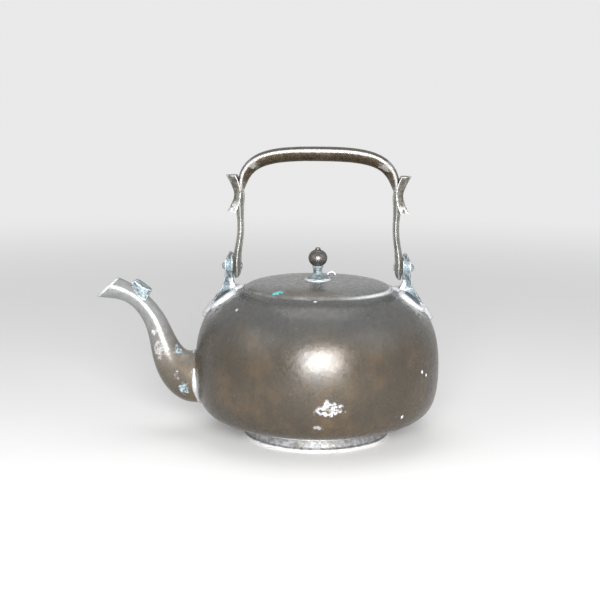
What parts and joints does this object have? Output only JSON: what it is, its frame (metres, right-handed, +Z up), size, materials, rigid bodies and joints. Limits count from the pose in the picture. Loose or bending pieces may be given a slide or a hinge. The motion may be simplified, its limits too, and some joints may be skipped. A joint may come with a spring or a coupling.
{
  "type": "kettle",
  "caption": "Squat round metal kettle on a foot ring, with a lift-off lid and ball knob, a swan-neck spout with a leaf crest, and a tall bail handle swinging on pins in cast lugs.",
  "frame": {"origin": "on the table, under the centre of the foot ring", "axes": "+Z up; the spout points along -X; the pins of the bail handle lie along X and the handle swings towards +Y and -Y"},
  "size_m": [0.2575, 0.1832, 0.2172],
  "materials": {
    "vessel_bronze": "dark brown patina, satin, fine mottling",
    "lid_bronze": "dark slate brown patina, satin",
    "spout_bronze": "brown patina, satin, with pale spots",
    "cast_bronze": "pale grey-green patina over brown, rough cast",
    "bail_bronze": "rubbed brown patina, bright on the ridges",
    "foot_bronze": "grey-brown patina, bright beads",
    "solder": "dull pale tin solder",
    "rivet_bronze": "dull, peened"
  },
  "bodies": {
    "kettle": {"body_shell": "vessel_bronze", "shoulder_shell": "vessel_bronze", "mouth_collar": "vessel_bronze", "foot_ring": "foot_bronze", "foot_seam": "solder", "spout_tube": "spout_bronze", "spout_seam": "solder", "spout_crest_leaf": "cast_bronze", "lug_right": "cast_bronze", "lug_left": "cast_bronze", "lug_seam_right": "solder", "lug_seam_left": "solder", "pivot_pin_right": "rivet_bronze", "pivot_pin_left": "rivet_bronze"},
    "lid": {"lid_plate": "lid_bronze", "lid_flange": "lid_bronze", "knob_stem": "cast_bronze", "knob_ball": "bail_bronze", "knob_seam": "solder", "knob_burr": "rivet_bronze", "chain_staple": "rivet_bronze"},
    "bail": {"bail_grip": "bail_bronze", "bail_leg_right": "bail_bronze", "bail_leg_left": "bail_bronze", "leaf_collar_right": "cast_bronze", "leaf_collar_left": "cast_bronze"}
  },
  "joints": [
    {"name": "bail_swing", "type": "hinge", "parent": "kettle", "child": "bail", "pos_m": [0, 0, 0.128], "axis": [1, 0, 0], "range_deg": [-103, 103]},
    {"name": "lid_lift", "type": "slide", "parent": "kettle", "child": "lid", "axis": [0, 0, 1], "range_m": [0, 0.036]}
  ]
}
